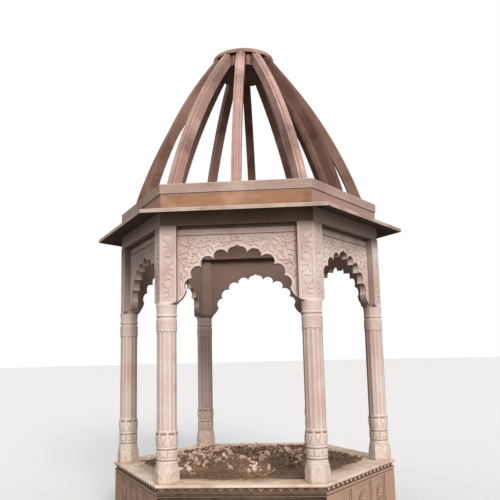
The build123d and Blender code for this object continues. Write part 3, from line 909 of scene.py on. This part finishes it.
def tooth():
    """One pointed block with a chamfered face, its back on the wall and its point down."""
    shape = bmesh.new()
    back = ((-TOOTH_WIDTH / 2, TOOTH_TOP), (TOOTH_WIDTH / 2, TOOTH_TOP), (0.0, TOOTH_TIP))
    middle = (2 * TOOTH_TOP + TOOTH_TIP) / 3
    cavity = shape.verts.layers.float.new("cavity")
    rings = []
    for stand, share, dirt_and_shade in TOOTH_RINGS:
        rings.append([])
        for x, z in back:
            spot = (x * share, -stand, middle + (z - middle) * share)
            rings[-1].append(shape.verts.new(Vector(spot) * MM))
            rings[-1][-1][cavity] = dirt_and_shade
    for inner, outer in zip(rings, rings[1:]):
        for a in range(3):
            b = (a + 1) % 3
            shape.faces.new((inner[a], inner[b], outer[b], outer[a]))
    shape.faces.new(rings[-1])
    shape.faces.new(rings[0][::-1])
    bmesh.ops.recalc_face_normals(shape, faces=shape.faces)
    mesh = bpy.data.meshes.new("tooth")
    shape.to_mesh(mesh)
    shape.free()
    return bpy.data.objects.new("tooth", mesh)


tree, given, last = node_tree("tooth_row", {
    "Count": "NodeSocketInt", "Pitch": "NodeSocketFloat", "Face": "NodeSocketFloat",
    "Turn": "NodeSocketFloat", "Stone": "NodeSocketMaterial",
})
step = put(tree, "ShaderNodeCombineXYZ", {0: given["Pitch"]})
gaps = put(tree, "ShaderNodeMath", {0: given["Count"], 1: -1.0}, operation="ADD")
length = put(tree, "ShaderNodeMath", {0: gaps, 1: given["Pitch"]}, operation="MULTIPLY")
half = put(tree, "ShaderNodeMath", {0: length, 1: -0.5}, operation="MULTIPLY")
out = put(tree, "ShaderNodeMath", {0: given["Face"], 1: -1.0}, operation="MULTIPLY")
start = put(tree, "ShaderNodeCombineXYZ", {0: half, 1: out})
row = put(tree, "GeometryNodeMeshLine", {
    "Count": given["Count"], "Start Location": start, "Offset": step,
})
teeth = put(tree, "GeometryNodeInstanceOnPoints", {"Points": row, "Instance": given["Geometry"]})
solid = put(tree, "GeometryNodeRealizeInstances", {0: teeth})
spin = put(tree, "ShaderNodeCombineXYZ", {2: given["Turn"]})
turned = put(tree, "GeometryNodeTransform", {"Geometry": solid, "Rotation": spin})
dressed = put(tree, "GeometryNodeSetMaterial", {"Geometry": turned, "Material": given["Stone"]})
tree.links.new(dressed, last.inputs[0])
for side in range(SIDES):
    mesh = grown(tooth(), tree, {
        "Count": TEETH, "Pitch": TOOTH_PITCH * MM, "Face": (PLINTH_FACE - FRIEZE_SINK) * MM,
        "Turn": 2 * pi / SIDES * side, "Stone": frieze_stone,
    })
    keep_piece(f"tooth_frieze_{side + 1}", mesh, frieze_stone, 20)


# Rubble: an uneven skin of earth over the heap, and broken stones strewn on it

HEAP_TOP = 645.0
HEAP_FALL = 55.0
HEAP_FLAT = 460.0
HEAP_SLOPE = 490.0
EARTH_THICK = 16.0
EARTH_SEAT = 585.0
EARTH_REACH = 1230.0
EARTH_STEP = 18.0


def apothem_of(x, y):
    """How far a place is from the axis, square to the side that it lies nearest to."""
    return max(abs(x * cos(radians(30 + 60 * k)) + y * sin(radians(30 + 60 * k))) for k in range(3))


def heap_height(x, y):
    """Height of the earth: the solid heap, lumps 0.5 m to 40 mm across, and a feathered edge on the rim."""
    far = apothem_of(x, y)
    heap = HEAP_TOP - HEAP_FALL * min(max((far - HEAP_FLAT) / HEAP_SLOPE, 0), 1)
    spot = Vector((x, y, 0))
    lumps = sum(rise * clouds.noise(spot * often) for rise, often in ((20, 0.0022), (14, 0.008), (8, 0.025)))
    wander = 0.5 + 0.5 * clouds.noise(spot * 0.004 + Vector((9, 3, 0)))
    on_rim = Z_RIM + 9 + 0.4 * lumps - 0.4 * max(0.0, 930 - far)
    past = max(0.0, far - (RIM_INNER + 60 + 110 * wander))
    return max(heap + EARTH_THICK + lumps, on_rim) - 0.0035 * past**2


count = int(EARTH_REACH / cos(pi / SIDES) / EARTH_STEP)
ground = bmesh.new()
grid = {}
for i in range(-count, count + 1):
    for j in range(-count, count + 1):
        x, y = i * EARTH_STEP, j * EARTH_STEP
        if apothem_of(x, y) < EARTH_REACH:
            z = max(heap_height(x, y), EARTH_SEAT)
            grid[i, j] = ground.verts.new((x * MM, y * MM, z * MM))
for (i, j), corner in grid.items():
    ring = [corner, grid.get((i + 1, j)), grid.get((i + 1, j + 1)), grid.get((i, j + 1))]
    if all(ring):
        ground.faces.new(ring)
earth_mesh = bpy.data.meshes.new("earth_heap")
ground.to_mesh(earth_mesh)
ground.free()
keep_piece("earth_heap", earth_mesh.copy(), earth, 60)


def broken_pieces(label, corners, blunt):
    """A collection of seven unlike lumps one unit long, their edges blunted or left as they broke."""
    pieces = bpy.data.collections.new(label)
    for k in range(7):
        lump = bmesh.new()
        for _ in range(corners):
            spot = Vector(rng.normal(size=3)).normalized()
            lump.verts.new(Vector((spot.x, spot.y * 0.8, spot.z * 0.6)) * (0.42 + 0.16 * rng.random()))
        bmesh.ops.convex_hull(lump, input=lump.verts)
        bmesh.ops.delete(lump, geom=[v for v in lump.verts if not v.link_faces], context="VERTS")
        if blunt:
            bmesh.ops.bevel(lump, geom=lump.edges[:], offset=blunt, segments=1, affect="EDGES")
        mesh = bpy.data.meshes.new(f"{label}_{k}")
        lump.to_mesh(mesh)
        lump.free()
        pieces.objects.link(bpy.data.objects.new(f"{label}_{k}", mesh))
    return pieces


# Stones have blunted edges, which catch the light. Grit and clods are too small to show theirs
chips = broken_pieces("chip", corners=11, blunt=0.03)
crumbs = broken_pieces("crumb", corners=8, blunt=0.0)

tree, given, last = node_tree("strewn_stones", {
    "Lumps": "NodeSocketCollection", "Density": "NodeSocketFloat", "Reach": "NodeSocketFloat",
    "Smallest": "NodeSocketFloat", "Largest": "NodeSocketFloat", "Seed": "NodeSocketInt",
    "Stone": "NodeSocketMaterial",
})
spots = put(tree, "GeometryNodeDistributePointsOnFaces", {
    "Mesh": given["Geometry"], "Density": given["Density"], "Seed": given["Seed"],
})

# The stones lie thickest left of and behind the axis, and thin out in patches
here = put(tree, "ShaderNodeVectorMath", {
    0: put(tree, "GeometryNodeInputPosition"), 1: (0.12, -0.15, 0.0),
}, operation="ADD")
patches = put(tree, "ShaderNodeTexNoise", {"Vector": here, "Scale": 2.6, "Detail": 2.0})
plan = put(tree, "ShaderNodeVectorMath", {0: here, 1: (1.0, 1.0, 0.0)}, operation="MULTIPLY")
radius = put(tree, "ShaderNodeVectorMath", {0: plan}, out="Value", operation="LENGTH")
thin = put(tree, "ShaderNodeMath", {0: patches, 1: -2.0, 2: radius}, operation="MULTIPLY_ADD")
bare = put(tree, "ShaderNodeMath", {0: thin, 1: given["Reach"]}, operation="GREATER_THAN")
kept = put(tree, "GeometryNodeDeleteGeometry", {"Geometry": spots, "Selection": bare}, domain="POINT")
pick = put(tree, "GeometryNodeCollectionInfo", {
    "Collection": given["Lumps"], "Separate Children": True, "Reset Children": True,
})
dice = put(tree, "FunctionNodeRandomValue", {"Seed": given["Seed"]}, out=1, data_type="FLOAT")
rarer = put(tree, "ShaderNodeMath", {0: dice, 1: 2.5}, operation="POWER")
size = put(tree, "ShaderNodeMapRange", {
    "Value": rarer, "To Min": given["Smallest"], "To Max": given["Largest"],
})
tumble = put(tree, "FunctionNodeRandomValue", {
    1: (6.283, 6.283, 6.283), "Seed": given["Seed"],
}, data_type="FLOAT_VECTOR")
strewn = put(tree, "GeometryNodeInstanceOnPoints", {
    "Points": kept, "Instance": pick, "Pick Instance": True, "Rotation": tumble, "Scale": size,
})
solid = put(tree, "GeometryNodeRealizeInstances", {0: strewn})
dressed = put(tree, "GeometryNodeSetMaterial", {"Geometry": solid, "Material": given["Stone"]})
tree.links.new(dressed, last.inputs[0])

# Density in pieces to a square metre, reach and sizes in metres
for label, lumps, density, reach_out, smallest, largest, seed, finish in (
    ("rubble_stones", chips, 170.0, -0.08, 0.025, 0.15, 4, chip_stone),
    ("rubble_grit", crumbs, 450.0, 0.10, 0.008, 0.03, 9, chip_stone),
    ("rubble_clods", crumbs, 700.0, 0.40, 0.01, 0.06, 5, earth),
):
    mesh = grown(bpy.data.objects.new(label, earth_mesh.copy()), tree, {
        "Lumps": lumps, "Density": density, "Reach": reach_out, "Smallest": smallest, "Largest": largest,
        "Seed": seed, "Stone": finish,
    })
    keep_piece(label, mesh, finish, 20)


# Camera, at the photo's height and distance: 1.87 m up and 7.9 m in front of the axis
eye = Vector((0.651, -7.8885, 1.8675))
yaw, pitch, roll = radians(4.492), radians(9.043), radians(-1.315)
ahead = Vector((-sin(yaw) * cos(pitch), cos(yaw) * cos(pitch), sin(pitch)))
right = Vector((cos(yaw), sin(yaw), 0.0))
above = right.cross(ahead)
right, above = cos(roll) * right + sin(roll) * above, cos(roll) * above - sin(roll) * right
camera = bpy.data.objects.new("camera", bpy.data.cameras.new("camera"))
camera.data.lens = 46.195
camera.data.sensor_width = 36.0
camera.matrix_world = Matrix.Translation(eye) @ Matrix((right, above, -ahead)).transposed().to_4x4()
bpy.context.collection.objects.link(camera)
bpy.context.scene.camera = camera

# Overcast: bright overhead, dim at the horizon and behind the part, and plain white to the camera
world = bpy.data.worlds.new("overcast_sky")
world.use_nodes = True
tree = world.node_tree
tree.nodes.clear()
north = put(tree, "ShaderNodeSeparateXYZ", {0: put(tree, "ShaderNodeTexCoord", out="Generated")}, out=1)
shade = put(tree, "ShaderNodeMapRange", {
    "Value": north, "From Min": -0.5, "From Max": 0.7, "To Min": 1.15, "To Max": 0.7,
})
strength = put(tree, "ShaderNodeMapRange", {
    "Value": north.node.outputs[2], "From Min": 0.02, "From Max": 0.6, "To Min": 0.12, "To Max": shade,
})
soft = put(tree, "ShaderNodeBackground", {"Color": colour("#EEF2F7"), "Strength": strength})
white = put(tree, "ShaderNodeBackground", {"Color": (1.0, 1.0, 1.0, 1.0)})
seen = put(tree, "ShaderNodeLightPath", out="Is Camera Ray")
chosen = put(tree, "ShaderNodeMixShader", {0: seen, 1: soft, 2: white})
put(tree, "ShaderNodeOutputWorld", {"Surface": chosen})
bpy.context.scene.world = world
bpy.context.scene.view_settings.view_transform = "Standard"

glow = bpy.data.lights.new("bright_cloud", "SUN")
glow.energy = 2.75
glow.angle = radians(25)
glow.color = colour("#FFF9F6")[:3]
lamp = bpy.data.objects.new("bright_cloud", glow)
lamp.rotation_mode = "QUATERNION"
lamp.rotation_quaternion = Vector((-0.310, 0.827, -0.468)).to_track_quat("-Z", "Y")
bpy.context.collection.objects.link(lamp)

# Floor: pale to the camera, and darker in the light that it throws back
floor_mesh = bpy.data.meshes.new("floor")
shape = bmesh.new()
bmesh.ops.create_circle(shape, cap_ends=True, segments=96, radius=120.0)
shape.to_mesh(floor_mesh)
shape.free()
floor = bpy.data.objects.new("floor", floor_mesh)
bpy.context.collection.objects.link(floor)
pale = bpy.data.materials.new("pale_floor")
pale.use_nodes = True
tree = pale.node_tree
tree.nodes.clear()
seen = put(tree, "ShaderNodeLightPath", out="Is Camera Ray")
tone = put(tree, "ShaderNodeMix", {
    0: seen, 6: colour("#6D665E"), 7: colour("#E4E2DF"),
}, out=2, data_type="RGBA")
matt = put(tree, "ShaderNodeBsdfPrincipled", {"Base Color": tone, "Roughness": 0.95})
put(tree, "ShaderNodeOutputMaterial", {"Surface": matt})
floor_mesh.materials.append(pale)
